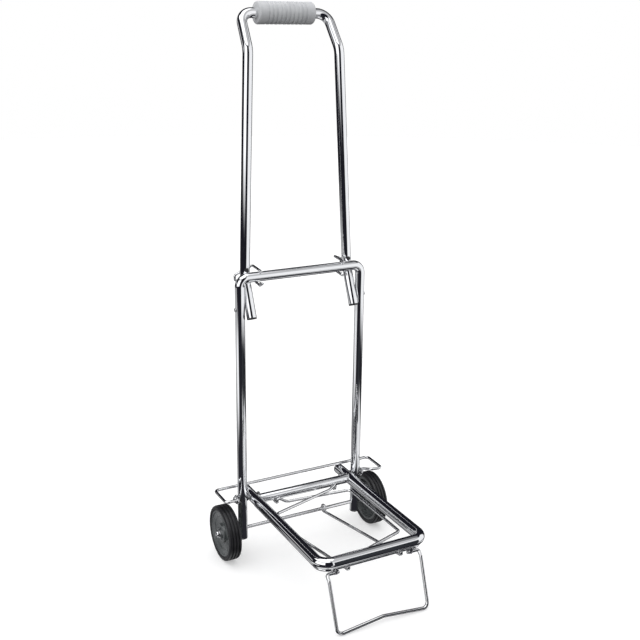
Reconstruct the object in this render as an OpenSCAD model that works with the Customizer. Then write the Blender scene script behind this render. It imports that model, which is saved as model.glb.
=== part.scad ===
// Folding two-wheel hand truck in bent chrome tube and wire.
// +Z up, front (platform side) toward -Y, left is -X, standing on z = 0.
// The origin is the middle of the footprint box, on the floor.

/* [Tube and wire] */
// outside diameter of the frame, handle and rear cross tubes
tube_d = 16; // [12:0.5:25]
// outside diameter of the platform loop
platform_d = 18; // [14:0.5:25]
// wall of every round tube
wall = 1.2; // [0.8:0.1:2]
// diameter of the rack, guard, brace and platform wires
wire_d = 5; // [4:0.5:6]
// diameter of the front stand wire
stand_wire_d = 5.5; // [4:0.5:7]

/* [Frame] */
// distance between the leg centre lines
frame_w = 220; // [180:5:300]
// height of the crossbar centre line
crossbar_z = 489; // [400:5:600]
// bend radius of the crossbar corners
frame_bend = 14; // [10:1:40]
// height of the open leg ends
leg_end_z = 31; // [15:1:40]

/* [Handle] */
// distance between the handle legs at the crossbar
handle_low_w = 187; // [150:1:190]
// distance between the handle legs at the shoulder bends
handle_top_w = 158; // [120:1:180]
// height of the shoulder bends
shoulder_z = 838; // [700:5:950]
// height of the grip centre line
grip_z = 891; // [750:5:1000]
// how far the grip sits behind the axle line
grip_back = 66; // [40:1:90]
// grip diameter
grip_d = 35; // [25:1:40]
// grip length
grip_len = 97; // [80:1:130]
// height of the lower stub ends
stub_z = 424; // [410:1:450]

/* [Wheels] */
// wheel diameter
wheel_d = 95; // [90:1:120]
// wheel width
wheel_w = 22; // [18:1:32]
// distance between the wheel centre planes
track = 284; // [270:2:320]
// axle rod diameter
axle_d = 6; // [5:0.5:8]

/* [Platform] */
// height of the platform tube centre line
platform_z = 104; // [95:1:115]
// distance from the pivots to the front bar
platform_l = 250; // [200:5:300]
// distance between the two rails
platform_w = 183.2; // [170:0.2:186]
// bend radius of the platform corners
platform_bend = 20; // [14:1:30]
// forward lean of the front stand in degrees
stand_lean = 23; // [10:1:30]

/* [Hidden] */
$fn = 40;

r = tube_d/2;
ri = r - wall;
rp = platform_d/2;
rpi = rp - wall;
rw = wire_d/2;
rs = stand_wire_d/2;
ra = axle_d/2;
hx = frame_w/2;
rail_x = platform_w/2;
wr = wheel_d/2;
axle_z = wr;
bolt_r = 3;
// running clearance on radius for pins that turn
run = 0.08;
// air gap kept between separate pieces that only lie together
air = 0.04;

// handle centre line
lean = 0.0339;
hy0 = tube_d + 1.35;
hb_z = crossbar_z - 2.5;
function hand_y(z) = hy0 + lean*(z - crossbar_z);
sh_y = hand_y(shoulder_z);
H_stub = [-handle_low_w/2, -9, stub_z];
H_bend = [-handle_low_w/2, hand_y(hb_z), hb_z];
H_shoulder = [-handle_top_w/2, sh_y, shoulder_z];
H_top = [-75.4, grip_back, grip_z];

// stand, drawn in its own sloping plane
pin_z = platform_z - rp - wire_d - air - 4.02;
stand_r = 9;
stand_rise = 5.5;
stand_low = (pin_z - rs)/cos(stand_lean) + stand_r*(tan((90 + stand_rise)/2) - 1);

// whole object shifted so that the footprint box is centred on y = 0
y_front = -platform_l - (pin_z - rs)*tan(stand_lean) - rs;
y_back = grip_back + grip_d/2;
Y0 = -(y_front + y_back)/2;

STEEL = [0.78, 0.79, 0.81];
DARK = [0.12, 0.12, 0.13];
GREY = [0.66, 0.68, 0.70];

function unit(v) = v/norm(v);
function mx(p) = [-p[0], p[1], p[2]];
function turn(a, b) = acos(max(-1, min(1, a*b)));
function flip(l) = [for (i = [len(l) - 1:-1:0]) l[i]];

module ring2(ro, rin) {
  if (rin > 0) difference() { circle(ro); circle(rin); }
  else circle(ro);
}

// straight run from a to b
module run_seg(a, b, ro, rin) {
  d = unit(b - a);
  up = abs(d[2]) < 0.9 ? [0, 0, 1] : [0, 1, 0];
  x = unit(cross(up, d));
  y = cross(d, x);
  multmatrix([[x[0], y[0], d[0], a[0]], [x[1], y[1], d[1], a[1]],
              [x[2], y[2], d[2], a[2]], [0, 0, 0, 1]])
    linear_extrude(norm(b - a)) ring2(ro, rin);
}

// bend at corner p between directions d1 and d2
module run_bend(p, d1, d2, rb, ro, rin) {
  ang = turn(d1, d2);
  n = unit(d2 - (d2*d1)*d1);
  c = p - d1*rb*tan(ang/2) + n*rb;
  z = cross(-n, d1);
  multmatrix([[-n[0], d1[0], z[0], c[0]], [-n[1], d1[1], z[1], c[1]],
              [-n[2], d1[2], z[2], c[2]], [0, 0, 0, 1]])
    rotate_extrude(angle = ang) translate([rb, 0])
      ring2(ro - 0.03, rin > 0 ? rin + 0.03 : 0);
}

// bent tube or wire along points P with bend radii R (first and last unused)
module sweep(P, R, ro, rin = 0) {
  n = len(P);
  lap = 0.1;
  D = [for (i = [0:n - 2]) unit(P[i + 1] - P[i])];
  T = [for (i = [0:n - 1]) (i == 0 || i == n - 1) ? 0 : R[i]*tan(turn(D[i - 1], D[i])/2)];
  for (i = [0:n - 2])
    run_seg(P[i] + D[i]*(T[i] - (i > 0 ? lap : 0)),
            P[i + 1] - D[i]*(T[i + 1] - (i < n - 2 ? lap : 0)), ro, rin);
  for (i = [1:n - 2]) run_bend(P[i], D[i - 1], D[i], R[i], ro, rin);
}

module xcyl(x1, x2, y, z, ro) {
  translate([x1, y, z]) rotate([0, 90, 0]) cylinder(r = ro, h = x2 - x1);
}
module ycyl(y1, y2, x, z, ro) {
  translate([x, y1, z]) rotate([-90, 0, 0]) cylinder(r = ro, h = y2 - y1);
}
module both_sides(s) { if (s < 0) children(); else mirror([1, 0, 0]) children(); }
module place() { translate([0, Y0, 0]) children(); }

// ---- frame -------------------------------------------------------------------------
module frame_tube() color(STEEL) place() difference() {
  sweep([[-hx, 0, leg_end_z], [-hx, 0, crossbar_z], [hx, 0, crossbar_z], [hx, 0, leg_end_z]],
        [0, frame_bend, frame_bend, 0], r, ri);
  for (s = [-1, 1]) {
    xcyl(s*hx - r - 1, s*hx + r + 1, 0, axle_z, ra + 0.05);
    xcyl(s*hx - r - 1, s*hx + r + 1, 0, platform_z, bolt_r + 0.05);
    xcyl(s*hx + (s < 0 ? -r - 1 : 0), s*hx + (s < 0 ? 0 : r + 1), 0, rivet_z, 2.05);
  }
}
rivet_z = 438;
module leg_cap(s) color(DARK) place() both_sides(s) translate([-hx, 0, leg_end_z]) {
  translate([0, 0, -2 - air]) cylinder(r = r, h = 2);
  translate([0, 0, -2 - air]) cylinder(r = ri - 0.1, h = 12);
}
module leg_cap_left() leg_cap(-1);
module leg_cap_right() leg_cap(1);

axle_end = track/2 + wheel_w/2 + 5;
module axle() color(STEEL) place() xcyl(-axle_end, axle_end, 0, axle_z, ra);
module axle_spacer(s) color(STEEL) place() both_sides(s) difference() {
  xcyl(-track/2 + wheel_w/2 + 0.36, -hx - r - air, 0, axle_z, 4.8);
  xcyl(-track/2, -hx, 0, axle_z, ra + 0.05);
}
module axle_spacer_left() axle_spacer(-1);
module axle_spacer_right() axle_spacer(1);
module axle_cap(s) color(STEEL) place() both_sides(s)
  translate([-track/2 - wheel_w/2 - 0.5, 0, axle_z]) rotate([0, -90, 0]) difference() {
    union() {
      cylinder(r = 7.5, h = 1);
      rotate_extrude() polygon([[0, 0.9], [6, 0.9], [5.8, 3.6], [4.8, 5.4], [2.6, 6.6], [0, 7]]);
    }
    translate([0, 0, -1]) cylinder(r = ra + 0.05, h = 5.6);
  }
module axle_cap_left() axle_cap(-1);
module axle_cap_right() axle_cap(1);

// one wire: eye at the left bolt, ear over the wheel, run behind the legs, ear, eye
guard_z = platform_z + rp + rw + 0.5;
ear_x = 150;
eye_r = bolt_r + 0.1 + rw;
eye_x = hx + r + rw + air;
module guard_wire() color(STEEL) place() sweep(concat(guard_half,
    [for (i = [len(guard_half) - 1:-1:0]) mx(guard_half[i])]),
  concat(guard_bend, flip(guard_bend)), rw);
guard_half = [[-eye_x, -0.4, platform_z + eye_r], [-eye_x, eye_r, platform_z + eye_r],
  [-eye_x, eye_r, platform_z - eye_r], [-eye_x, -eye_r, platform_z - eye_r],
  [-eye_x, -eye_r, guard_z - 4], [-eye_x - 9, -23, guard_z],
  [-ear_x, -26, guard_z], [-ear_x, 24.5, guard_z]];
guard_bend = [0, eye_r - 0.01, eye_r - 0.01, eye_r - 0.01, 3.5, 5, 7, 7];
head_x = eye_x + rw + air;
module pivot_bolt(s) color(STEEL) place() both_sides(s)
  translate([-head_x, 0, platform_z]) rotate([0, -90, 0]) {
    rotate_extrude() polygon([[0, 0], [5.6, 0], [5.6, 1], [4.9, 2.2], [3.2, 3.1], [0, 3.5]]);
    translate([0, 0, -(head_x - rail_x + rp + 5.5)])
      cylinder(r = bolt_r, h = head_x - rail_x + rp + 5.6);
  }
module pivot_bolt_left() pivot_bolt(-1);
module pivot_bolt_right() pivot_bolt(1);
module pivot_washer(s) color(STEEL) place() both_sides(s) difference() {
  xcyl(-hx + r + air, -hx + r + 1.04, 0, platform_z, 6);
  xcyl(-hx, -hx + r + 3, 0, platform_z, bolt_r + 0.05);
}
module pivot_washer_left() pivot_washer(-1);
module pivot_washer_right() pivot_washer(1);
module pivot_nut(s) color(STEEL) place() both_sides(s) difference() {
  translate([-rail_x + rp + 0.4, 0, platform_z]) rotate([0, 90, 0])
    cylinder(r = 5.6, h = 4, $fn = 6);
  xcyl(-rail_x, -rail_x + rp + 9, 0, platform_z, bolt_r + 0.03);
}
module pivot_nut_left() pivot_nut(-1);
module pivot_nut_right() pivot_nut(1);

// wire clip that holds the handle leg against the crossbar
gw = 2;
clip_x = 75.3;
clip_y = hy0 + r + gw + 0.9;
module guide_wire(s) color(STEEL) place() both_sides(s)
  sweep([[-clip_x + 3.4, -6.6, crossbar_z - 10.2], [-clip_x, -2, crossbar_z - 15],
         [-clip_x, clip_y, crossbar_z - 11], [-106.2, clip_y, crossbar_z - 11],
         [-106.2, clip_y, crossbar_z - 1], [-clip_x, clip_y, crossbar_z + 12],
         [-clip_x, 0, crossbar_z + r + gw + air], [-clip_x, -7.5, crossbar_z + 9.2]],
        [0, 3, 4, 4, 4, 4, 8, 0], gw);
module guide_wire_left() guide_wire(-1);
module guide_wire_right() guide_wire(1);

module frame_rivet(s) color(STEEL) place() both_sides(s)
  translate([-hx - r - 0.1, 0, rivet_z]) rotate([0, -90, 0]) {
    rotate_extrude() polygon([[0, 0], [3.6, 0], [3.2, 1], [1.8, 1.7], [0, 1.9]]);
    translate([0, 0, -3]) cylinder(r = 2, h = 3.1);
  }
module frame_rivet_left() frame_rivet(-1);
module frame_rivet_right() frame_rivet(1);

// ---- handle ------------------------------------------------------------------------
btn_z = crossbar_z + 9.5;
btn_r = 3.5;
btn_x = handle_low_w/2 - 0.0415*(btn_z - crossbar_z);
module btn_frame() translate([-btn_x, hand_y(btn_z), btn_z]) rotate([-atan(lean), 0, 0])
  rotate([90, 0, 0]) children();
module handle_tube() color(STEEL) place() difference() {
  sweep([H_stub, H_bend, H_shoulder, H_top, mx(H_top), mx(H_shoulder), mx(H_bend), mx(H_stub)],
        [0, 15, 30, 20, 20, 30, 15, 0], r, ri);
  for (s = [-1, 1]) both_sides(s) btn_frame() cylinder(r = btn_r + run, h = r + 3);
}
rib_n = 10;
rib_p = 7.2;
module grip() color(GREY) place() translate([-grip_len/2, grip_back, grip_z]) rotate([0, 90, 0])
  rotate_extrude() polygon(concat(
    [[r + air, 0], [grip_d/2 - 2, 0], [grip_d/2, 2]],
    [for (i = [0:rib_n - 1], q = [[0, 0], [0.9, -1.3], [2.1, -1.3], [3, 0]])
      [grip_d/2 + q[1], grip_len/2 - rib_p*rib_n/2 + i*rib_p + 2.1 + q[0]]],
    [[grip_d/2, grip_len - 2], [grip_d/2 - 2, grip_len], [r + air, grip_len]]));

stub_d = unit(H_bend - H_stub);
module stub_plug(s) color(DARK) place() both_sides(s) {
  run_seg(H_stub - stub_d*(2 + air), H_stub - stub_d*air, r, 0);
  run_seg(H_stub - stub_d*(1 + air), H_stub + stub_d*10, ri - 0.1, 0);
}
module stub_plug_left() stub_plug(-1);
module stub_plug_right() stub_plug(1);

// snap button: low dome, shank through the tube wall, flange inside
module button(s) color(DARK) place() both_sides(s) btn_frame() {
  translate([0, 0, 4.1]) cylinder(r = btn_r, h = r - 4.1);
  translate([0, 0, r - 0.1]) rotate_extrude()
    polygon([[0, 0], [btn_r, 0], [btn_r, 0.3], [2.4, 0.85], [0, 1.05]]);
  translate([0, 0, 4.1]) cylinder(r = 4, h = 0.9);
}
module button_left() button(-1);
module button_right() button(1);
module button_spring(s) color(STEEL) place() both_sides(s) btn_frame()
  translate([2, 0, 0]) rotate([0, -90, 0]) linear_extrude(4)
    polygon([[3.4, -3], [3.4, 1.8], [-5.4, 15], [-5.4, 26], [-4.9, 26], [-4.9, 15.2],
             [3.98, 2.1], [3.98, -3]]);
module button_spring_left() button_spring(-1);
module button_spring_right() button_spring(1);

// ---- wheels ------------------------------------------------------------------------
bead_r = wr - 8;
module wheel_place(s) place() both_sides(s) translate([-track/2, 0, axle_z]) rotate([0, -90, 0])
  children();
hw = wheel_w/2;
module tyre(s) color(DARK) wheel_place(s) rotate_extrude() polygon(concat(
  [[bead_r, -hw + 1.2], [bead_r + 1.5, -hw], [wr - 3.2, -hw], [wr - 0.9, -hw + 1.0]],
  [for (i = [-1:1], q = [[0, -1.3], [-2.4, -0.8], [-2.4, 0.8], [0, 1.3]])
    [wr + q[0], i*5.5 + q[1]]],
  [[wr - 0.9, hw - 1.0], [wr - 3.2, hw], [bead_r + 1.5, hw], [bead_r, hw - 1.2]]));
module tyre_left() tyre(-1);
module tyre_right() tyre(1);
module wheel_hub(s) color([0.2, 0.21, 0.21]) wheel_place(s) difference() {
  rotate_extrude() polygon([[5.04, -hw - 0.2], [9, -hw - 0.2], [10, -hw + 1], [11.5, 2],
    [bead_r - 6.5, 2.4], [bead_r - 4, -hw + 1.2], [bead_r - air, -hw + 1.2],
    [bead_r - air, hw - 1.2], [bead_r - 3, hw - 1.2], [bead_r - 4.5, hw - 4.5],
    [17, hw - 5.2], [15, hw - 2.5], [9.5, hw + 0.2],
    [5.04, hw + 0.2]]);
}
module wheel_hub_left() wheel_hub(-1);
module wheel_hub_right() wheel_hub(1);
module wheel_bush(s) color([0.3, 0.3, 0.31]) wheel_place(s) difference() {
  translate([0, 0, -hw - 0.3]) cylinder(r = 5, h = 2*hw + 0.6);
  translate([0, 0, -hw - 1]) cylinder(r = ra + run, h = 2*hw + 2);
}
module wheel_bush_left() wheel_bush(-1);
module wheel_bush_right() wheel_bush(1);

// ---- platform ----------------------------------------------------------------------
rail_back = 27;
module platform_tube() color(STEEL) place() difference() {
  sweep([[-rail_x, rail_back, platform_z], [-rail_x, -platform_l, platform_z],
         [rail_x, -platform_l, platform_z], [rail_x, rail_back, platform_z]],
        [0, platform_bend, platform_bend, 0], rp, rpi);
  for (s = [-1, 1]) xcyl(s*rail_x - rp - 1, s*rail_x + rp + 1, 0, platform_z, bolt_r + run);
}
// the rear cross tube sits just in front of the pivot nuts
cross_y = -14;
module platform_cross_tube() color(STEEL) place() difference() {
  xcyl(-rail_x + 3, rail_x - 3, cross_y, platform_z, r);
  xcyl(-rail_x - 3, rail_x + 3, cross_y, platform_z, ri);
  for (s = [-1, 1]) ycyl(cross_y - 20, cross_y + 20, s*rail_x, platform_z, rp + air);
}
module rail_plug(s) color(DARK) place() both_sides(s) {
  ycyl(rail_back + air, rail_back + 2, -rail_x, platform_z, rp);
  ycyl(rail_back - 10, rail_back + 1, -rail_x, platform_z, rpi - 0.1);
}
module rail_plug_left() rail_plug(-1);
module rail_plug_right() rail_plug(1);
uw_z = platform_z - rp - rw - air;
module platform_wire() color(STEEL) place()
  sweep([[-rail_x, -12, uw_z], [-rail_x, -platform_l, uw_z], [rail_x, -platform_l, uw_z],
         [rail_x, -12, uw_z]], [0, platform_bend, platform_bend, 0], rw);
clip_w = 7;
module stand_clip(s) color(STEEL) place() both_sides(s) difference() {
  union() {
    xcyl(-67 - clip_w/2, -67 + clip_w/2, -platform_l, pin_z, 4);
    translate([-67 - clip_w/2, -platform_l - 4, pin_z]) cube([clip_w, 8, uw_z - pin_z + 1]);
  }
  xcyl(-80, -50, -platform_l, pin_z, rs + run);
  xcyl(-80, -50, -platform_l, uw_z, rw + 0.03);
}
module stand_clip_left() stand_clip(-1);
module stand_clip_right() stand_clip(1);

// ---- front stand -------------------------------------------------------------------
stand_x = 82;
module stand_wire() color(STEEL) place() translate([0, -platform_l, pin_z])
  rotate([-stand_lean, 0, 0])
  sweep([[-61, 0, 0], [-stand_x, 0, 0], [-stand_x, -4.5, -9],
         [-stand_x + 1, 0, -stand_low], [0, 0, -stand_low + tan(stand_rise)*(stand_x - 1)],
         [stand_x - 1, 0, -stand_low], [stand_x, -4.5, -9], [stand_x, 0, 0], [61, 0, 0]],
        [0, 4, 8, stand_r, 30, stand_r, 8, 4, 0], rs);

// ---- braces ------------------------------------------------------------------------
brace_x = 47;
be = ra + run + rw;
bh = rw + 0.3 + rw;
// the rod is the lower common tangent of the two hook circles
b_dy = platform_l;
b_dz = uw_z - axle_z;
b_len = norm([b_dy, b_dz]);
b_ang = atan(b_dz/b_dy) - asin((bh - be)/b_len);
module brace(s) color(STEEL) place() both_sides(s) translate([-brace_x, 0, 0]) {
  // eye round the axle
  translate([0, 0, axle_z]) rotate([0, 90, 0])
    difference() {
      rotate_extrude() translate([be, 0]) circle(rw);
      cylinder(r = ra + run, h = 20, center = true);
    }
  bn = [0, -sin(b_ang), -cos(b_ang)];
  bd = [0, -cos(b_ang), sin(b_ang)];
  A = [0, 0, axle_z] + bn*be;
  B = [0, -platform_l, uw_z] + bn*bh;
  C = B + bd*bh;
  sweep([A, C, C - bn*(bh + 1.2)], [0, bh - 0.01, 0], rw);
}
module brace_left() brace(-1);
module brace_right() brace(1);

// ---- rack wire ---------------------------------------------------------------------
hk = r + rw + 0.3;
h0 = cross_y + hk;
h1 = cross_y - hk;
module rack_wire() color(STEEL) place() translate([0, 0, platform_z])
  sweep([[-56, h0, 1], [-56, h0, -hk], [-56, h1, -hk], [-56, h1, 0],
         [-42, -31, -8], [74, -46, -5.5], [74, -206, -6], [-10, -229, -9.5],
         [-78, -228, -8.5], [-78, -66, -6], [38, -38, -0.8], [56, h1, 0],
         [56, h1, -hk], [56, h0, -hk], [56, h0, 1]],
        [0, hk - 0.01, 5, 3.3, 16, 9, 7, 20, 7, 9, 14, 4.5, 5, hk - 0.01, 0], rw);

frame_tube();
leg_cap_left();
leg_cap_right();
axle();
axle_spacer_left();
axle_spacer_right();
axle_cap_left();
axle_cap_right();
guard_wire();
pivot_bolt_left();
pivot_bolt_right();
pivot_washer_left();
pivot_washer_right();
pivot_nut_left();
pivot_nut_right();
guide_wire_left();
guide_wire_right();
frame_rivet_left();
frame_rivet_right();
handle_tube();
grip();
stub_plug_left();
stub_plug_right();
button_left();
button_right();
button_spring_left();
button_spring_right();
tyre_left();
tyre_right();
wheel_hub_left();
wheel_hub_right();
wheel_bush_left();
wheel_bush_right();
platform_tube();
platform_cross_tube();
rail_plug_left();
rail_plug_right();
platform_wire();
stand_clip_left();
stand_clip_right();
stand_wire();
brace_left();
brace_right();
rack_wire();
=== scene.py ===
import math
import bmesh
import bpy
from mathutils import Matrix, Vector, noise


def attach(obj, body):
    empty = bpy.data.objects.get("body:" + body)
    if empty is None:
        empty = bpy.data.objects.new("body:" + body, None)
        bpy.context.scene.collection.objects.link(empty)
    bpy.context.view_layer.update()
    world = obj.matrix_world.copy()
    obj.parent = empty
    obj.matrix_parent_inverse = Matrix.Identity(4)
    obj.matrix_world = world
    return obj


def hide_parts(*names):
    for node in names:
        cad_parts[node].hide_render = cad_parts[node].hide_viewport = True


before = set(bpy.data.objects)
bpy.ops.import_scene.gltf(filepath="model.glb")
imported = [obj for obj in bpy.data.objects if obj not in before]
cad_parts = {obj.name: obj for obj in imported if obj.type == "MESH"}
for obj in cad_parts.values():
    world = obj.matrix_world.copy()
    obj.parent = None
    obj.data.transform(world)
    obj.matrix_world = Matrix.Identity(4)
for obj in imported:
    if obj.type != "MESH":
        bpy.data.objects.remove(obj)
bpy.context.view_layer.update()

MM = 0.001
AXLE_BACK = 102.28103      # the axle line lies this far behind the middle of the footprint
SHIFT = Vector((0, AXLE_BACK, 0))
SIDES = (("left", -1), ("right", 1))

# Places and sizes in mm, as in the CAD: x from the middle, y from the axle, z from the floor
AIR = 0.04                 # gap between parts that touch
TUBE_R, TUBE_BORE = 8.0, 6.8       # radii of the frame and handle tube
RAIL_R, RAIL_BORE = 9.0, 7.8       # of the platform tube
WIRE_R, STAND_R, AXLE_R, GUIDE_R = 2.5, 2.75, 3.0, 2.0     # of the wires and the axle
TYRE_R = 47.5
AXLE_Z = TYRE_R
AXLE_END = 158
WHEEL_X = 142
CAP_X = 153.5              # caps on the axle ends
BRACE_X = 47.0             # braces on the axle
LEG_X, LEG_END = 110.0, 31.0       # frame legs and their open ends
CROSSBAR_Z = 489.0
FRAME_BEND = 14
RIVET_Z = 438
PLATFORM_Z = 104.0
PLATFORM_L = 250.0         # from the pivots to the front bar
PLATFORM_BEND = 20
RAIL_X, RAIL_END = 91.6, 27        # rails and their open rear ends
REAR_TUBE_Y = -14.0
UNDER_WIRE_Z = PLATFORM_Z - RAIL_R - WIRE_R - AIR
UNDER_WIRE_END = -12
CLIP_X = 67                # clips that hold the front stand
PIN_Z = PLATFORM_Z - RAIL_R - 2*WIRE_R - AIR - 4.02        # its pins
EYE_X = LEG_X + TUBE_R + WIRE_R + AIR      # eyes of the guard wire round the pivot bolts
EYE_R = 3.1 + WIRE_R
EAR_X, EAR_FRONT, EAR_BACK = 150, -26, 24.5        # its ears over the wheels
GUARD_Z = PLATFORM_Z + RAIL_R + WIRE_R + 0.5
BOLT_X = EYE_X + WIRE_R + AIR      # under the heads of the pivot bolts
GUIDE_X, GUIDE_OUT = 75.3, 106.2   # guide wires behind the crossbar
HAND_Y = 17.35             # handle legs at the crossbar
LEAN, LEAN_IN = 0.0339, 0.0415     # their lean back and towards each other
KNEE_Z = CROSSBAR_Z - 2.5          # where they bend forward into the stubs
STUB_X, STUB_Y, STUB_Z = 93.5, -9, 424     # lower ends of the stubs
SHOULDER_X, SHOULDER_Z = 79, 838   # where the legs bend in and back
GRIP_X, GRIP_Y, GRIP_Z = 75.4, 66, 891.0   # corners of the handle's top bar
GRIP_L, GRIP_R = 97.0, 17.5        # the sleeve on it


# ---- mesh tools: all points in mm, measured from under the axle ------------------------
def make(name, verts, faces, sharp=40):
    """Smooth mesh object, with the edges that turn by more than sharp degrees left sharp."""
    me = bpy.data.meshes.new(name)
    me.from_pydata([tuple((Vector(v) + SHIFT)*MM) for v in verts], [], faces)
    me.validate()
    me.update()
    bm = bmesh.new()
    bm.from_mesh(me)
    bmesh.ops.remove_doubles(bm, verts=bm.verts, dist=1e-6)
    bmesh.ops.recalc_face_normals(bm, faces=bm.faces)
    bm.to_mesh(me)
    bm.free()
    me.shade_smooth()
    me.set_sharp_from_angle(angle=math.radians(sharp))
    ob = bpy.data.objects.new(name, me)
    bpy.context.scene.collection.objects.link(ob)
    return ob


def strip(faces, a, b, n):
    """Adds the quads between two rings of n points that start at a and b."""
    for k in range(n):
        m = (k + 1) % n
        faces.append((a + k, a + m, b + m, b + k))


def flip(points):
    return [(-x, y, z) for x, y, z in points]


def on_side(s, points):
    """Points given for the left side, on side s."""
    return points if s < 0 else flip(points)


def loop_points(half, bends):
    """The left half of a loop and its bend radii, with the right half added."""
    return half + flip(half[::-1]), bends + bends[::-1]


def centreline(points, bends, step=5.0):
    """(point, direction) along a line through points, bent with the radii bends in steps of degrees."""
    points = [Vector(p) for p in points]
    runs = [(q - p).normalized() for p, q in zip(points, points[1:])]
    out = [(points[0], runs[0])]
    for p, a, b, r in zip(points[1:], runs, runs[1:], bends[1:]):
        angle = a.angle(b)
        n = (b - a*b.dot(a)).normalized()
        centre = p - a*(r*math.tan(angle/2)) + n*r
        k = max(3, round(math.degrees(angle)/step))
        for j in range(k + 1):
            w = angle*j/k
            q = centre - n*r*math.cos(w) + a*r*math.sin(w)
            if (q - out[-1][0]).length > 0.02:
                out.append((q, a*math.cos(w) + n*math.sin(w)))
    out.append((points[-1], runs[-1]))
    return out


def tube(name, path, ro, ri=0.0, seg=40, edge=0.5):
    """Round bar along path, or hollow tube where ri is given, with rounded rims."""
    x = path[0][1].orthogonal().normalized()
    stations = []
    for p, t in path:
        x = (x - t*x.dot(t)).normalized()
        stations.append((p, t, x.copy()))
    steps = [math.pi/2*j/3 for j in range(4)]
    p, t, x = stations[0]
    rings = [(p + t*edge*(1 - math.cos(w)), t, x, ro - edge*(1 - math.sin(w))) for w in steps]
    rings += [(*q, ro) for q in stations[1:-1]]
    p, t, x = stations[-1]
    rings += [(p - t*edge*(1 - math.cos(w)), t, x, ro - edge*(1 - math.sin(w)))
              for w in steps[::-1]]
    verts, faces = [], []

    def ring(p, t, x, r):
        y = t.cross(x)
        base = len(verts)
        for k in range(seg):
            a = 2*math.pi*k/seg
            verts.append(p + (x*math.cos(a) + y*math.sin(a))*r)
        return base
    bases = [ring(*q) for q in rings]
    if ri:
        bases += [ring(*q, ri) for q in stations[::-1]]
        bases.append(bases[0])
    for a, b in zip(bases, bases[1:]):
        strip(faces, a, b, seg)
    if not ri:
        for b, p in ((bases[0], rings[0][0]), (bases[-1], rings[-1][0])):
            verts.append(p)
            c = len(verts) - 1
            for k in range(seg):
                faces.append((b + k, b + (k + 1) % seg, c))
    return make(name, verts, faces)


def rounded(prof, rad=0.4, n=4):
    """Closed profile of (r, z) or (r, z, corner radius), rounded except on the axis."""
    out = []
    for i, p in enumerate(prof):
        r = p[2] if len(p) > 2 else rad
        a, b, c = (Vector(q[:2]) for q in (prof[i - 1], p, prof[(i + 1) % len(prof)]))
        u, v = a - b, c - b
        if (b.x < 1e-6 or r <= 0 or u.length < 1e-6 or v.length < 1e-6
                or u.angle(v) > math.radians(172)):
            out.append((b.x, b.y))
            continue
        t = min(r/math.tan(u.angle(v)/2), 0.45*u.length, 0.45*v.length)
        s, e = b + u.normalized()*t, b + v.normalized()*t
        for j in range(n + 1):
            w = j/n
            q = s*(1 - w)**2 + b*2*w*(1 - w) + e*w**2
            out.append((q.x, q.y))
    return out


def axes(x, y, z, o):
    """Matrix with the axes x, y and z, and its origin at o."""
    return Matrix(((x.x, y.x, z.x, o.x), (x.y, y.y, z.y, o.y), (x.z, y.z, z.z, o.z), (0, 0, 0, 1)))


def lathe(name, prof, origin, axis, seg=72, shape=None, sharp=40):
    """Closed profile of (r, z) turned round axis; shape(r, z, angle) may change a radius."""
    up = Vector(axis).normalized()
    side = up.orthogonal().normalized()
    place = axes(side, up.cross(side), up, Vector(origin))
    verts, faces, bases = [], [], []
    for r, z in prof:
        pole = r < 1e-6
        bases.append((len(verts), pole))
        if pole:
            verts.append(place @ Vector((0, 0, z)))
            continue
        for k in range(seg):
            a = 2*math.pi*k/seg
            rr = shape(r, z, a) if shape else r
            verts.append(place @ Vector((rr*math.cos(a), rr*math.sin(a), z)))
    for i, (a, pa) in enumerate(bases):
        b, pb = bases[(i + 1) % len(bases)]
        if pa and pb:
            continue
        if not (pa or pb):
            strip(faces, a, b, seg)
            continue
        for k in range(seg):
            m = (k + 1) % seg
            faces.append((a, b + m, b + k) if pa else (a + k, a + m, b))
    return make(name, verts, faces, sharp)


# ---- materials -------------------------------------------------------------------------
class Graph:
    """Short calls that add nodes to a node tree, which starts out empty."""

    def __init__(self, tree):
        self.nodes = tree.nodes
        self.links = tree.links
        self.nodes.clear()

    def node(self, kind, **props):
        nd = self.nodes.new(kind)
        for k, v in props.items():
            setattr(nd, k, v)
        return nd

    def put(self, sock, value):
        if isinstance(value, bpy.types.NodeSocket):
            self.links.new(value, sock)
        else:
            sock.default_value = value

    def math(self, op, *values):
        nd = self.node("ShaderNodeMath", operation=op)
        for s, v in zip(nd.inputs, values):
            self.put(s, v)
        return nd.outputs[0]

    def ramp(self, fac, stops):
        nd = self.node("ShaderNodeValToRGB")
        for e, (p, c) in zip(nd.color_ramp.elements, stops):
            e.position = p
            e.color = (*c, 1)
        self.put(nd.inputs[0], fac)
        return nd.outputs[0]

    def noise(self, vec, scale, detail, rough=0.55, distortion=0.0):
        nd = self.node("ShaderNodeTexNoise")
        for k, x in (("Vector", vec), ("Scale", scale), ("Detail", detail), ("Roughness", rough),
                     ("Distortion", distortion)):
            self.put(nd.inputs[k], x)
        return nd.outputs["Fac"]

    def span(self, v, a, b, lo, hi):
        """v from a..b mapped smoothly to lo..hi."""
        nd = self.node("ShaderNodeMapRange", interpolation_type="SMOOTHSTEP")
        for k, x in zip(("Value", "From Min", "From Max", "To Min", "To Max"), (v, a, b, lo, hi)):
            self.put(nd.inputs[k], x)
        return nd.outputs[0]


def material(name):
    """A material, its graph, its shader and the object's coordinates."""
    m = bpy.data.materials.new(name)
    m.use_nodes = True
    g = Graph(m.node_tree)
    b = g.node("ShaderNodeBsdfPrincipled")
    g.links.new(b.outputs[0], g.node("ShaderNodeOutputMaterial").inputs[0])
    return m, g, b, g.node("ShaderNodeTexCoord").outputs["Object"]


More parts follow.
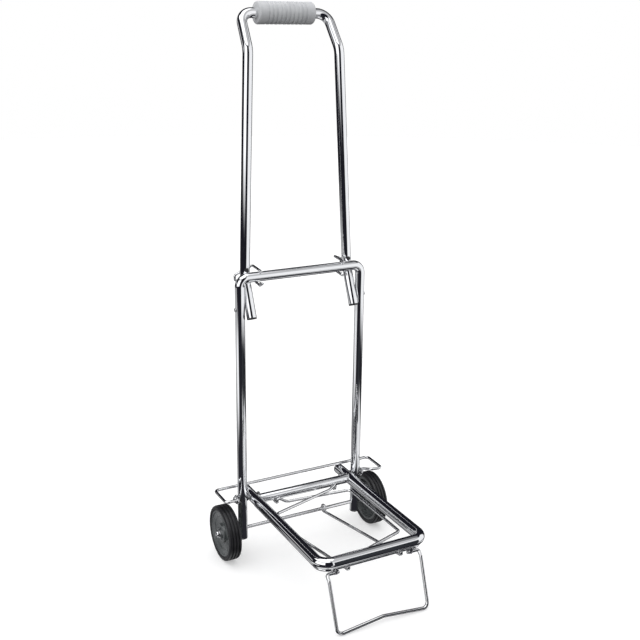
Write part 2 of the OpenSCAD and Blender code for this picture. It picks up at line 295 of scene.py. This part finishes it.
def bump(g, b, height, strength, dist):
    nd = g.node("ShaderNodeBump")
    nd.inputs["Strength"].default_value = strength
    nd.inputs["Distance"].default_value = dist
    g.put(nd.inputs["Height"], height)
    g.links.new(nd.outputs[0], b.inputs["Normal"])


def metal(name, light, dark, r0, r1, fine, bump_s, patch, spots):
    """Plated steel: cloudy roughness, faint polishing marks, tiny pits, slight tone drift."""
    m, g, b, co = material(name)
    cloud = g.noise(co, patch, 5.0, 0.6, 0.4)
    pits = g.noise(co, 420.0, 3.0, 0.7)
    rub = g.noise(co, 160.0, 3.0, 0.6)
    mix = g.node("ShaderNodeMix", data_type="RGBA")
    g.put(mix.inputs["Factor"], g.span(pits, 0.66, 0.74, 0.0, spots))
    g.put(mix.inputs["A"], g.ramp(cloud, [(0.30, dark), (0.68, light)]))
    mix.inputs["B"].default_value = (dark[0]*0.45, dark[1]*0.43, dark[2]*0.42, 1)
    g.put(b.inputs["Base Color"], mix.outputs["Result"])
    b.inputs["Metallic"].default_value = 1.0
    g.put(b.inputs["Roughness"], g.math("ADD", g.span(cloud, 0.3, 0.75, r0, (r0 + r1)/2),
                                        g.span(rub, 0.45, 0.8, 0.0, (r1 - r0)/2)))
    bump(g, b, g.noise(co, fine, 2.0, 0.5), bump_s, 0.0001)
    return m


def plastic(name, light, dark, r0, r1, scale, grain, bump_s, dist=0.0002, spec=0.5, coat=0.0,
            sheen=0.0):
    """Moulded plastic or rubber: cloudy tone and roughness under a fine grain."""
    m, g, b, co = material(name)
    cloud = g.noise(co, scale, 5.0, 0.6)
    fine = g.noise(co, grain, 3.0, 0.6)
    both = g.math("ADD", g.math("MULTIPLY", cloud, 0.65), g.math("MULTIPLY", fine, 0.35))
    g.put(b.inputs["Base Color"], g.ramp(both, [(0.34, dark), (0.64, light)]))
    g.put(b.inputs["Roughness"], g.span(cloud, 0.3, 0.7, r0, r1))
    b.inputs["Specular IOR Level"].default_value = spec
    if coat:
        b.inputs["Coat Weight"].default_value = coat
        b.inputs["Coat Roughness"].default_value = 0.25
    if sheen:
        b.inputs["Sheen Weight"].default_value = sheen
        b.inputs["Sheen Roughness"].default_value = 0.5
    bump(g, b, fine, bump_s, dist)
    return m


MATERIALS = {
    "chrome_tube": metal("chrome_tube", (0.94, 0.945, 0.955), (0.86, 0.868, 0.885),
                         0.035, 0.085, 500.0, 0.008, 14.0, 0.12),
    "chrome_wire": metal("chrome_wire", (0.95, 0.95, 0.955), (0.84, 0.845, 0.855),
                         0.04, 0.10, 700.0, 0.015, 30.0, 0.2),
    "chrome_fittings": metal("chrome_fittings", (0.86, 0.86, 0.87), (0.68, 0.685, 0.70),
                             0.08, 0.20, 1500.0, 0.06, 80.0, 0.4),
    "plated_steel": metal("plated_steel", (0.70, 0.70, 0.70), (0.50, 0.505, 0.52),
                          0.20, 0.36, 1500.0, 0.12, 90.0, 0.5),
    "weld": metal("weld_nickel", (0.70, 0.70, 0.71), (0.42, 0.42, 0.43),
                  0.14, 0.32, 700.0, 0.30, 120.0, 0.6),
    "black_plugs": plastic("black_plugs", (0.030, 0.030, 0.033), (0.014, 0.014, 0.016),
                           0.34, 0.52, 90.0, 1800.0, 0.20),
    "grip_rubber": plastic("grip_rubber", (0.72, 0.73, 0.745), (0.60, 0.61, 0.63),
                           0.45, 0.62, 55.0, 1300.0, 0.45, 0.0003, 0.45, sheen=0.1),
    "tyre_rubber": plastic("tyre_rubber", (0.017, 0.017, 0.020), (0.007, 0.007, 0.009),
                           0.28, 0.44, 70.0, 1500.0, 0.25, 0.0002, 0.6),
    "hub_plastic": plastic("hub_plastic", (0.088, 0.097, 0.098), (0.052, 0.058, 0.060),
                           0.20, 0.32, 60.0, 1700.0, 0.10, 0.0001, 0.8, coat=0.5),
    "bush_plastic": plastic("bush_plastic", (0.16, 0.16, 0.165), (0.10, 0.10, 0.105),
                            0.38, 0.55, 90.0, 1600.0, 0.2),
}


def done(ob, body, mat, node=None):
    """Gives a piece its material and body, and hides the CAD node that it stands for."""
    ob.data.materials.append(MATERIALS[mat])
    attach(ob, body)
    if node:
        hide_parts(node)


# ---- profiles of the turned parts: (r, z) or (r, z, corner radius) ---------------------
def plug(lip, depth):
    """Plug in the open end of a frame or handle tube, from its face inwards."""
    return rounded([(0, -2.04), (TUBE_R, -2.04, lip), (TUBE_R, -AIR, 0.3), (6.7, -AIR, 0), (6.7, depth),
                    (5.2, depth), (5.2, 1.0), (0, 1.0)])


RAIL_PLUG = [(0, 2.0), (RAIL_R, 2.0, 0.8), (RAIL_R, AIR, 0.3), (7.7, AIR, 0), (7.7, -10), (6.2, -10),
             (6.2, -1), (0, -1)]
SPACER = [(3.05, -130.64), (4.8, -130.64), (4.8, -118.04), (3.05, -118.04)]
AXLE_CAP = [(0, 7.0), (2.6, 6.6, 1), (4.8, 5.4, 1), (5.8, 3.6, 1), (6.0, 1.0, 0.3), (7.5, 1.0, 0.3),
            (7.5, 0.0, 0.2), (3.05, 0.0, 0.1), (3.05, 4.6, 0), (0, 4.6)]
BOLT = [(0, -45.98), (3, -45.98, 0.6), (3, 0, 0), (5.6, 0, 0.25), (5.6, 1, 0.5), (4.9, 2.2, 1),
        (3.2, 3.1, 1), (1.9, 3.35, 0.3), (1.5, 2.5, 0.3), (0, 2.3)]
WASHER = [(3.05, AIR), (6, AIR), (6, 1.04), (3.05, 1.04)]
NUT_R = 5.6
NUT = [(3.03, 0), (4.9, 0), (5.25, 0.25), (NUT_R, 0.8), (NUT_R, 3.2), (5.25, 3.75), (4.9, 4),
       (3.03, 4)]
RIVET = [(0, -3), (2, -3), (2, 0, 0), (3.6, 0, 0.2), (3.2, 1, 0.8), (1.8, 1.7, 0.8), (0, 1.9)]
BUTTON = [(0, 4.1), (4, 4.1, 0.2), (4, 5.0, 0.2), (3.5, 5.0, 0), (3.5, 8.15, 0.3),
          (2.4, 8.75, 0.8), (0, 8.95)]
# the disc is dished a little deeper than in the CAD
HUB = [(5.04, -11.2, 0.3), (9, -11.2, 0.6), (10, -10, 0.5), (11.5, 2, 1.0), (33, 2.4, 1.5),
       (35.5, -9.8, 0.8), (39.46, -9.8, 0.3), (39.46, 9.8, 0.3), (37.6, 9.8, 0.5),
       (36.5, 9.5, 0.5), (35.4, 8.6, 0.8), (28.4, 6.9, 0.6), (27.9, 6.2, 0.5), (17.8, 3.9, 1.4),
       (16.3, 4.5, 0.8), (15.2, 8.4, 1.0), (11.6, 8.9, 1.2), (9.6, 11.2, 0.9), (5.04, 11.2, 0.3)]
BUSH = [(3.08, -11.3), (5, -11.3), (5, 11.3), (3.08, 11.3)]

SIDEWALL = [(39.54, 9.8, 0.4), (41, 11, 0.6), (42.0, 11, 0.3), (42.4, 10.6, 0.3), (43.2, 10.6, 0.3),
            (43.6, 11, 0.3), (44.3, 11, 1.1), (46.6, 10.0, 0.9)]
TREAD_GROOVES = (-5.5, 0, 5.5)
TYRE = [(r, -z, c) for r, z, c in SIDEWALL]
for z in TREAD_GROOVES:
    TYRE += [(TYRE_R, z - 1.4, 0.45), (45.1, z - 0.85, 0.5), (45.1, z + 0.85, 0.5),
             (TYRE_R, z + 1.4, 0.45)]
TYRE += SIDEWALL[::-1]

# grip: soft moulded ribs with rounded lips, their grooves deeper than in the CAD
RIB = 7.2
GRIP = [(TUBE_R + AIR, 0.0, 0.4), (GRIP_R - 1.2, 0.0, 1.4), (GRIP_R, 2.2, 1.5)]
for i in range(10):
    z = GRIP_L/2 + (i - 5)*RIB + 2.1
    GRIP += [(GRIP_R - 0.1, z - 0.2, 0.5), (GRIP_R - 2.3, z + 0.9, 0.5), (GRIP_R - 1.6, z + 2.6, 0.7),
             (GRIP_R - 0.1, z + 3.3, 0.5), (GRIP_R, z + 3.9, 0)]
GRIP = GRIP[:-1] + [(GRIP_R, GRIP_L - 2.2, 1.5), (GRIP_R - 1.2, GRIP_L, 1.4),
                    (TUBE_R + AIR, GRIP_L, 0.4)]


def hexed(r, z, a):
    """Cuts a nut's round profile to a hexagon."""
    w = ((a + math.pi/6) % (math.pi/3)) - math.pi/6
    return min(r, NUT_R*math.cos(math.pi/6)/math.cos(w))


def soft(r, z, a):
    """Makes the outside of the grip slightly uneven."""
    if r < GRIP_R - 3:
        return r
    return r + 0.16*noise.noise(Vector((z*0.11, math.cos(a)*1.3, math.sin(a)*1.3))) - 0.12


# ---- frame -----------------------------------------------------------------------------
points, bends = loop_points([(-LEG_X, 0, LEG_END), (-LEG_X, 0, CROSSBAR_Z)], [0, FRAME_BEND])
done(tube("frame_legs_and_crossbar", centreline(points, bends, 4), TUBE_R, TUBE_BORE, 64, 0.4),
     "frame", "chrome_tube", "frame_tube")

AXLE = [(0, -AXLE_END), (AXLE_R, -AXLE_END), (AXLE_R, AXLE_END), (0, AXLE_END)]
done(lathe("axle_rod", rounded(AXLE, 0.5), (0, 0, AXLE_Z), (1, 0, 0), 40),
     "frame", "chrome_wire", "axle")

half = [(-EYE_X, -0.4, PLATFORM_Z + EYE_R), (-EYE_X, EYE_R, PLATFORM_Z + EYE_R),
        (-EYE_X, EYE_R, PLATFORM_Z - EYE_R), (-EYE_X, -EYE_R, PLATFORM_Z - EYE_R),
        (-EYE_X, -EYE_R, GUARD_Z - 4), (-EYE_X - 9, EAR_FRONT + 3, GUARD_Z),
        (-EAR_X, EAR_FRONT, GUARD_Z), (-EAR_X, EAR_BACK, GUARD_Z)]
points, bends = loop_points(half, [0, EYE_R - 0.01, EYE_R - 0.01, EYE_R - 0.01, 3.5, 5, 7, 7])
done(tube("wheel_guard_wire", centreline(points, bends, 7), WIRE_R, 0, 28, 0.5),
     "frame", "chrome_wire", "guard_wire")

for side, s in SIDES:
    inward, outward = (-s, 0, 0), (s, 0, 0)
    done(lathe("leg_plug_" + side, plug(0.9, 9.96), (s*LEG_X, 0, LEG_END), (0, 0, 1), 64),
         "frame", "black_plugs", "leg_cap_" + side)
    done(lathe("axle_spacer_tube_" + side, rounded(SPACER), (0, 0, AXLE_Z), inward, 40),
         "frame", "plated_steel", "axle_spacer_" + side)
    done(lathe("axle_push_cap_" + side, rounded(AXLE_CAP), (s*CAP_X, 0, AXLE_Z), outward, 56),
         "frame", "chrome_fittings", "axle_cap_" + side)
    done(lathe("pivot_bolt_and_head_" + side, rounded(BOLT, 0.3),
               (s*BOLT_X, 0, PLATFORM_Z), outward, 48),
         "frame", "chrome_fittings", "pivot_bolt_" + side)
    done(lathe("pivot_washer_ring_" + side, rounded(WASHER, 0.25),
               (s*(LEG_X - TUBE_R), 0, PLATFORM_Z), inward, 48),
         "frame", "plated_steel", "pivot_washer_" + side)
    done(lathe("pivot_hex_nut_" + side, NUT,
               (s*(RAIL_X - RAIL_R - 0.4), 0, PLATFORM_Z), inward, 72, hexed, 25),
         "frame", "plated_steel", "pivot_nut_" + side)
    done(lathe("frame_rivet_head_" + side, rounded(RIVET, 0.2),
               (s*(LEG_X + TUBE_R + 0.1), 0, RIVET_Z), outward, 40),
         "frame", "chrome_fittings", "frame_rivet_" + side)
    back = HAND_Y + TUBE_R + GUIDE_R + 0.9
    low, high = CROSSBAR_Z - 11, CROSSBAR_Z + TUBE_R + GUIDE_R + AIR
    points = on_side(s, [(-71.9, -6.6, CROSSBAR_Z - 10.2), (-GUIDE_X, -2, CROSSBAR_Z - 15),
                         (-GUIDE_X, back, low), (-GUIDE_OUT, back, low),
                         (-GUIDE_OUT, back, CROSSBAR_Z - 1), (-GUIDE_X, back, CROSSBAR_Z + 12),
                         (-GUIDE_X, 0, high), (-GUIDE_X, -7.5, CROSSBAR_Z + 9.2)])
    done(tube("handle_guide_wire_" + side, centreline(points, [0, 3, 4, 4, 4, 4, 8, 0], 8),
              GUIDE_R, 0, 24, 0.5), "frame", "chrome_wire", "guide_wire_" + side)


# ---- handle ----------------------------------------------------------------------------
def hand_y(z):
    """Where the leaning handle legs are at height z."""
    return HAND_Y + LEAN*(z - CROSSBAR_Z)


STUB = Vector((-STUB_X, STUB_Y, STUB_Z))
KNEE = Vector((-STUB_X, hand_y(KNEE_Z), KNEE_Z))
half = [tuple(STUB), tuple(KNEE), (-SHOULDER_X, hand_y(SHOULDER_Z), SHOULDER_Z),
        (-GRIP_X, GRIP_Y, GRIP_Z)]
points, bends = loop_points(half, [0, 15, 30, 20])
done(tube("handle_tube_bent", centreline(points, bends, 3.5), TUBE_R, TUBE_BORE, 64, 0.4),
     "handle", "chrome_tube", "handle_tube")
done(lathe("grip_ribbed", rounded(GRIP, 0.5), (-GRIP_L/2, GRIP_Y, GRIP_Z), (1, 0, 0), 96, soft, 60),
     "handle", "grip_rubber", "grip")

BUTTON_UP = 9.5        # buttons above the crossbar
BUTTON_X, BUTTON_Z = STUB_X - LEAN_IN*BUTTON_UP, CROSSBAR_Z + BUTTON_UP
TILT = math.atan(LEAN)
for side, s in SIDES:
    done(lathe("stub_end_plug_" + side, plug(0.8, 10), (s*STUB_X, STUB_Y, STUB_Z),
               (0, KNEE.y - STUB.y, KNEE.z - STUB.z), 64),
         "handle", "black_plugs", "stub_plug_" + side)
    done(lathe("snap_button_dome_" + side, rounded(BUTTON, 0.2),
               (s*BUTTON_X, hand_y(BUTTON_Z), BUTTON_Z), (0, -math.cos(TILT), math.sin(TILT)), 40),
         "button_" + side, "black_plugs", "button_" + side)

# ---- wheels ----------------------------------------------------------------------------
for side, s in SIDES:
    at, body = ((s*WHEEL_X, 0, AXLE_Z), (s, 0, 0)), "wheel_" + side
    done(lathe("tyre_ribbed_" + side, rounded(TYRE, 0.4, 3), *at, 128, None, 50),
         body, "tyre_rubber", "tyre_" + side)
    done(lathe("wheel_disc_" + side, rounded(HUB, 0.5), *at, 128, None, 50),
         body, "hub_plastic", "wheel_hub_" + side)
    done(lathe("wheel_bush_tube_" + side, rounded(BUSH, 0.3), *at, 48),
         body, "bush_plastic", "wheel_bush_" + side)


# ---- platform --------------------------------------------------------------------------
def platform_u(end, z, step):
    """Centreline of the rails and front bar, from and to y = end, at height z."""
    points, bends = loop_points([(-RAIL_X, end, z), (-RAIL_X, -PLATFORM_L, z)], [0, PLATFORM_BEND])
    return centreline(points, bends, step)


def weld_bead(s):
    """Lumpy ring of weld in the saddle between the rear tube and the rail."""
    n, m, lift = 72, 12, TUBE_R + 0.1
    pts = []
    for k in range(n + 1):
        a = 2*math.pi*k/n
        x = RAIL_X - math.sqrt(RAIL_R**2 - (TUBE_R*math.sin(a))**2) - 0.35
        pts.append(Vector((s*x, REAR_TUBE_Y + lift*math.cos(a), PLATFORM_Z + lift*math.sin(a))))
    verts, faces = [], []
    for k in range(n):
        p = pts[k]
        t = (pts[(k + 1) % n] - pts[k - 1]).normalized()
        v = p - Vector((p.x, REAR_TUBE_Y, PLATFORM_Z))
        v = (v - t*v.dot(t)).normalized()
        b = t.cross(v)
        rr = 1.15 + 0.28*math.sin(k*1.9) + 0.25*noise.noise(p*0.7)
        for j in range(m):
            w = 2*math.pi*j/m
            verts.append(p + (v*math.cos(w) + b*math.sin(w))*rr)
    for k in range(n):
        strip(faces, k*m, ((k + 1) % n)*m, m)
    return verts, faces


def pin_clip(s):
    """Bent strap clip that holds a pin of the front stand, a little smaller than in the CAD."""
    r, top = 3.6, 3.0
    outline = [(r*math.cos(math.pi + math.pi*j/18), PIN_Z + r*math.sin(math.pi + math.pi*j/18))
               for j in range(19)]
    outline += [(r, UNDER_WIRE_Z - 0.6), (top, UNDER_WIRE_Z + 1.0), (-top, UNDER_WIRE_Z + 1.0),
                (-r, UNDER_WIRE_Z - 0.6)]
    cuts = [(-2.6, 0.5), (-2.3, 0.15), (-1.9, 0.0), (1.9, 0.0), (2.3, 0.15), (2.6, 0.5)]
    m, cz = len(outline), (PIN_Z + UNDER_WIRE_Z)/2
    verts, faces = [], []
    for dx, inset in cuts:
        for y, z in outline:
            v = Vector((y, z - cz))
            v = v*(1 - inset/max(v.length, 1))
            verts.append((s*CLIP_X + dx, -PLATFORM_L + v.x, cz + v.y))
    for a in range(len(cuts) - 1):
        strip(faces, a*m, (a + 1)*m, m)
    faces.append(tuple(range(m)))
    faces.append(tuple((len(cuts) - 1)*m + k for k in range(m)))
    return verts, faces


done(tube("platform_loop", platform_u(RAIL_END, PLATFORM_Z, 4), RAIL_R, RAIL_BORE, 64, 0.4),
     "platform", "chrome_tube", "platform_tube")
rear = [(-RAIL_X + 3, REAR_TUBE_Y, PLATFORM_Z), (RAIL_X - 3, REAR_TUBE_Y, PLATFORM_Z)]
done(tube("platform_rear_tube", centreline(rear, [0, 0]), TUBE_R - 0.02, TUBE_BORE, 64, 0.2),
     "platform", "chrome_tube", "platform_cross_tube")
done(tube("platform_under_wire", platform_u(UNDER_WIRE_END, UNDER_WIRE_Z, 5), WIRE_R, 0, 32, 0.6),
     "platform", "chrome_wire", "platform_wire")
for side, s in SIDES:
    done(lathe("rail_end_plug_" + side, rounded(RAIL_PLUG), (s*RAIL_X, RAIL_END, PLATFORM_Z),
               (0, 1, 0), 64),
         "platform", "black_plugs", "rail_plug_" + side)
    done(make("rail_weld_bead_" + side, *weld_bead(s), 80), "platform", "weld")
    done(make("stand_pin_clip_" + side, *pin_clip(s), 35),
         "platform", "chrome_fittings", "stand_clip_" + side)


def tack(name, a, b, r, body):
    """Short lumpy weld run between two points."""
    a, b = Vector(a), Vector(b)
    t = (b - a).normalized()
    x = t.orthogonal().normalized()
    y = t.cross(x)
    n = m = 14
    verts, faces = [a - t*r*0.5], []
    for k in range(n):
        w = k/(n - 1)
        p = a.lerp(b, w)
        env = math.sin(math.pi*min(1, max(0.0, 0.12 + 0.76*w)))**0.5
        rr = r*env*(1 + 0.14*math.sin(k*2.1) + 0.12*noise.noise(p*0.9))
        for j in range(m):
            u = 2*math.pi*j/m
            verts.append(p + (x*math.cos(u) + y*math.sin(u))*rr)
    verts.append(b + t*r*0.5)
    last = 1 + (n - 1)*m
    for k in range(n - 1):
        strip(faces, 1 + k*m, 1 + (k + 1)*m, m)
    for j in range(m):
        i = (j + 1) % m
        faces.append((0, 1 + i, 1 + j))
        faces.append((len(verts) - 1, last + j, last + i))
    done(make(name, verts, faces, 80), body, "weld")


RAIL_TACKS = (-28, -118, -205)
for side, s in SIDES:
    z = UNDER_WIRE_Z + 2.0
    for j, y in enumerate(RAIL_TACKS):
        for k, e in enumerate((-1, 1)):
            x = s*RAIL_X + e*2.6
            tack(f"under_wire_tack_{side}_{j}{k}", (x, y - 5, z), (x, y + 5, z), 1.3, "platform")
    x, y, z = s*34, -PLATFORM_L + 2.5, UNDER_WIRE_Z + 2.1
    tack("under_wire_tack_front_" + side, (x - 6, y, z), (x + 6, y, z), 1.3, "platform")
    x, z = s*GUIDE_X - s*2.1, CROSSBAR_Z + TUBE_R + 0.5
    tack("guide_weld_top_" + side, (x, -3.5, z), (x, 4.0, z), 1.15, "frame")
    x, z = s*GUIDE_X - s*1.6, CROSSBAR_Z - TUBE_R - 3.2
    tack("guide_weld_low_" + side, (x, -3.0, z), (x, 3.0, z), 1.4, "frame")

# ---- front stand: drawn upright below its pins, then leaned forward --------------------
LEAN_OUT = math.radians(23)
COS, SIN = math.cos(LEAN_OUT), math.sin(LEAN_OUT)
PIN_END, UPRIGHT_X = 61, 82.0
FOOT_BEND, FOOT_RISE = 9, 5.5      # the foot bar rises this many degrees towards its middle
FOOT = (PIN_Z - STAND_R)/COS + FOOT_BEND*(math.tan(math.radians((90 + FOOT_RISE)/2)) - 1)
MIDDLE = FOOT - math.tan(math.radians(FOOT_RISE))*(UPRIGHT_X - 1)
half = [(-PIN_END, 0, 0), (-UPRIGHT_X, 0, 0), (-UPRIGHT_X, -4.5, -9), (-UPRIGHT_X + 1, 0, -FOOT),
        (0, 0, -MIDDLE)]
points = [(x, -PLATFORM_L + y*COS + z*SIN, PIN_Z - y*SIN + z*COS)
          for x, y, z in half + flip(half[-2::-1])]
bends = [0, 4, 8, FOOT_BEND, 30, FOOT_BEND, 8, 4, 0]
done(tube("front_stand", centreline(points, bends, 5), STAND_R, 0, 36, 0.6),
     "stand", "chrome_wire", "stand_wire")

# ---- braces: an open eye round the axle, a straight rod, a hook round the front wire ---
BRACE_EYE, BRACE_HOOK = AXLE_R + 0.08 + WIRE_R, 2*WIRE_R + 0.3
reach = math.hypot(PLATFORM_L, UNDER_WIRE_Z - AXLE_Z)
slope = math.atan((UNDER_WIRE_Z - AXLE_Z)/PLATFORM_L) - math.asin((BRACE_HOOK - BRACE_EYE)/reach)
down = Vector((0, -math.sin(slope), -math.cos(slope)))
ahead = Vector((0, -math.cos(slope), math.sin(slope)))
EYE_TURN, EYE_STEPS = 288, 44
for side, s in SIDES:
    x = s*BRACE_X
    c = Vector((x, 0, AXLE_Z))
    path = []
    for k in range(EYE_STEPS):
        f = math.radians(-EYE_TURN + EYE_TURN*k/EYE_STEPS)
        path.append((c + (down*math.cos(f) + ahead*math.sin(f))*BRACE_EYE,
                     (ahead*math.cos(f) - down*math.sin(f)).normalized()))
    end = Vector((x, -PLATFORM_L, UNDER_WIRE_Z)) + down*BRACE_HOOK + ahead*BRACE_HOOK
    path += centreline([c + down*BRACE_EYE, end, end - down*(BRACE_HOOK + 1.2)],
                       [0, BRACE_HOOK - 0.01, 0], 6)
    done(tube("brace_rod_" + side, path, WIRE_R, 0, 28, 0.6),
         "brace_" + side, "chrome_wire", "brace_" + side)

# ---- rack wire: hooked round the rear tube at both ends --------------------------------
RACK_HOOK = TUBE_R + WIRE_R + 0.3
BACK, FRONT = REAR_TUBE_Y + RACK_HOOK, REAR_TUBE_Y - RACK_HOOK
points = [(-56, BACK, 1), (-56, BACK, -RACK_HOOK), (-56, FRONT, -RACK_HOOK), (-56, FRONT, 0),
          (-42, -31, -8), (74, -46, -5.5), (74, -206, -6), (-10, -229, -9.5), (-78, -228, -8.5),
          (-78, -66, -6), (38, -38, -0.8),
          (56, FRONT, 0), (56, FRONT, -RACK_HOOK), (56, BACK, -RACK_HOOK), (56, BACK, 1)]
points = [(x, y, z + PLATFORM_Z) for x, y, z in points]
bends = [0, RACK_HOOK - 0.01, 5, 3.3, 16, 9, 7, 20, 7, 9, 14, 4.5, 5, RACK_HOOK - 0.01, 0]
done(tube("rack_wire_loop", centreline(points, bends, 6), WIRE_R, 0, 32, 0.6),
     "rack", "chrome_wire", "rack_wire")

# ---- CAD nodes that keep their own shape -----------------------------------------------
for side, _ in SIDES:
    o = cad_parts["button_spring_" + side]
    o.data.materials.clear()
    o.data.materials.append(MATERIALS["plated_steel"])

# ---- camera: the view of the photograph, solved from points measured in it -------------
AZIMUTH, PITCH, ROLL = math.radians(-28.15), math.radians(17.33), math.radians(0.70)
CAMERA_AT = Vector((-0.70964, AXLE_BACK*MM - 1.3917955, 0.89358))
forward = Vector((-math.sin(AZIMUTH)*math.cos(PITCH), math.cos(AZIMUTH)*math.cos(PITCH),
                  -math.sin(PITCH)))
right = Vector((math.cos(AZIMUTH), math.sin(AZIMUTH), 0))
up = right.cross(forward)
cam_data = bpy.data.cameras.new("camera")
cam = bpy.data.objects.new("camera", cam_data)
bpy.context.scene.collection.objects.link(cam)
cam_data.sensor_width = 36.0
cam_data.lens = 55.575
cam_data.clip_start, cam_data.clip_end = 0.05, 60.0
cam.matrix_world = axes(right*math.cos(ROLL) + up*math.sin(ROLL),
                        up*math.cos(ROLL) - right*math.sin(ROLL), -forward, CAMERA_AT)
bpy.context.scene.camera = cam


# ---- stage -----------------------------------------------------------------------------
def matt_sheet(name, mat_name, verts, faces, dark, light):
    """A flat matt object, and its shader."""
    me = bpy.data.meshes.new(name)
    me.from_pydata(verts, [], faces)
    ob = bpy.data.objects.new(name, me)
    bpy.context.scene.collection.objects.link(ob)
    m, g, b, co = material(mat_name)
    g.put(b.inputs["Base Color"], g.ramp(g.noise(co, 9.0, 3.0), [(0.3, dark), (0.7, light)]))
    b.inputs["Roughness"].default_value = 0.95
    b.inputs["Specular IOR Level"].default_value = 0.0
    me.materials.append(m)
    return ob, b


# a round pale floor that lights itself a little
FLOOR_R, FLOOR_SEG = 6, 96
verts = [(0, 0, 0)] + [(FLOOR_R*math.cos(2*math.pi*k/FLOOR_SEG),
                        FLOOR_R*math.sin(2*math.pi*k/FLOOR_SEG), 0) for k in range(FLOOR_SEG)]
floor, b = matt_sheet("floor", "floor_paper", verts,
                      [(0, 1 + k, 1 + (k + 1) % FLOOR_SEG) for k in range(FLOOR_SEG)],
                      (0.74, 0.74, 0.74), (0.77, 0.77, 0.77))
b.inputs["Emission Color"].default_value = (1, 1, 1, 1)
b.inputs["Emission Strength"].default_value = 0.34
floor.visible_glossy = False
floor.visible_diffuse = False

# a dark card low in front right, seen only in reflections
CARD_Y, CARD_X0, CARD_X1, CARD_Z0, CARD_Z1 = -0.32, -0.02, 0.27, -0.06, 0.19
card, b = matt_sheet("flag_card", "flag_felt",
                     [(CARD_X0, CARD_Y, CARD_Z0), (CARD_X1, CARD_Y, CARD_Z0),
                      (CARD_X1, CARD_Y, CARD_Z1), (CARD_X0, CARD_Y, CARD_Z1)], [(0, 1, 2, 3)],
                     (0.040, 0.043, 0.050), (0.055, 0.059, 0.068))
for flag in ("camera", "diffuse", "transmission", "shadow", "volume_scatter"):
    setattr(card, "visible_" + flag, False)

# ---- world: white to the camera, a studio of panels in reflections, a soft sky for the rest
world = bpy.data.worlds.new("studio")
bpy.context.scene.world = world
world.use_nodes = True
g = Graph(world.node_tree)
sp = g.node("ShaderNodeSeparateXYZ")
g.links.new(g.node("ShaderNodeTexCoord").outputs["Generated"], sp.inputs[0])
dx, dy, dz = sp.outputs
# bearing: 0 towards the photographer, positive to the right; bearing and elevation in degrees
DEGREES = 57.29578
bx = g.math("ADD", g.math("MULTIPLY", dx, right.x), g.math("MULTIPLY", dy, right.y))
to_eye = Vector((math.sin(AZIMUTH), -math.cos(AZIMUTH)))
by = g.math("ADD", g.math("MULTIPLY", dx, to_eye.x), g.math("MULTIPLY", dy, to_eye.y))
bearing = g.math("MULTIPLY", g.math("ARCTAN2", bx, by), DEGREES)
elevation = g.math("MULTIPLY", g.math("ARCSINE", dz), DEGREES)


def panel(a0, a1, e0, e1, value, sa=3.0, se=3.0):
    """Brightness of a panel between two bearings and elevations, with edges sa and se soft."""
    f = g.math("MULTIPLY", g.span(bearing, a0 - sa, a0 + sa, 0, 1),
               g.span(bearing, a1 - sa, a1 + sa, 1, 0))
    f = g.math("MULTIPLY", f, g.span(elevation, e0 - se, e0 + se, 0, 1))
    f = g.math("MULTIPLY", f, g.span(elevation, e1 - se, e1 + se, 1, 0))
    return g.math("MULTIPLY", f, value)


def background(color, strength):
    nd = g.node("ShaderNodeBackground")
    g.put(nd.inputs[0], color)
    g.put(nd.inputs[1], strength)
    return nd.outputs[0]


def mix_shader(fac, a, b):
    nd = g.node("ShaderNodeMixShader")
    for sock, out in zip(nd.inputs, (fac, a, b)):
        g.links.new(out, sock)
    return nd.outputs[0]


total = g.span(elevation, -35, -8, 0.022, 0.012)
for args in (
    (38, 132, -20, 38, 0.95),              # tall panel on the right
    (30, 140, -36, -27.5, 0.85, 4, 1.5),   # floor low on the right
    (-98, -44, -29, -18, 0.95),            # floor low on the left
    (-68, -8, -3, 40, 1.3),                # window, front left
    (-175, -66, -24, -13, 0.45),           # pale band low on the left
    (-178, -90, 5, 12, 0.7),               # strip light behind left
    (38, 104, 30, 70, 0.55),               # dimmer upper part of the tall panel
    (-180, 180, 66, 92, 1.6),              # overhead soft box
    (-110, 30, 46, 70, 1.5),               # its edge towards the front
    (100, 178, 48, 70, 0.18),              # and, dimmer, behind right
    (-160, -96, -48, -27, 0.42, 12, 7),    # floor low behind left
    (-180, 180, -92, -62, 0.75),           # pale floor under the object
):
    total = g.math("MAXIMUM", total, panel(*args))
tint = g.node("ShaderNodeCombineColor")
g.put(tint.inputs[0], g.math("MULTIPLY", total, 0.985))
g.put(tint.inputs[1], g.math("MULTIPLY", total, 0.99))
g.put(tint.inputs[2], g.math("ADD", total, 0.005))
WHITE = (1, 1, 1, 1)
# what lights matt surfaces: bright above and on the left, dim below
sky = g.math("MULTIPLY", g.span(elevation, -30, 35, 0.16, 1.12),
             g.math("MULTIPLY_ADD", bx, -0.38, 1.0))
ray = g.node("ShaderNodeLightPath").outputs
seen = mix_shader(ray["Is Diffuse Ray"], background(tint.outputs[0], 1.0), background(WHITE, sky))
seen = mix_shader(ray["Is Camera Ray"], seen, background(WHITE, 1.0))
g.links.new(seen, g.node("ShaderNodeOutputWorld").inputs[0])

bpy.context.scene.view_settings.view_transform = "Standard"
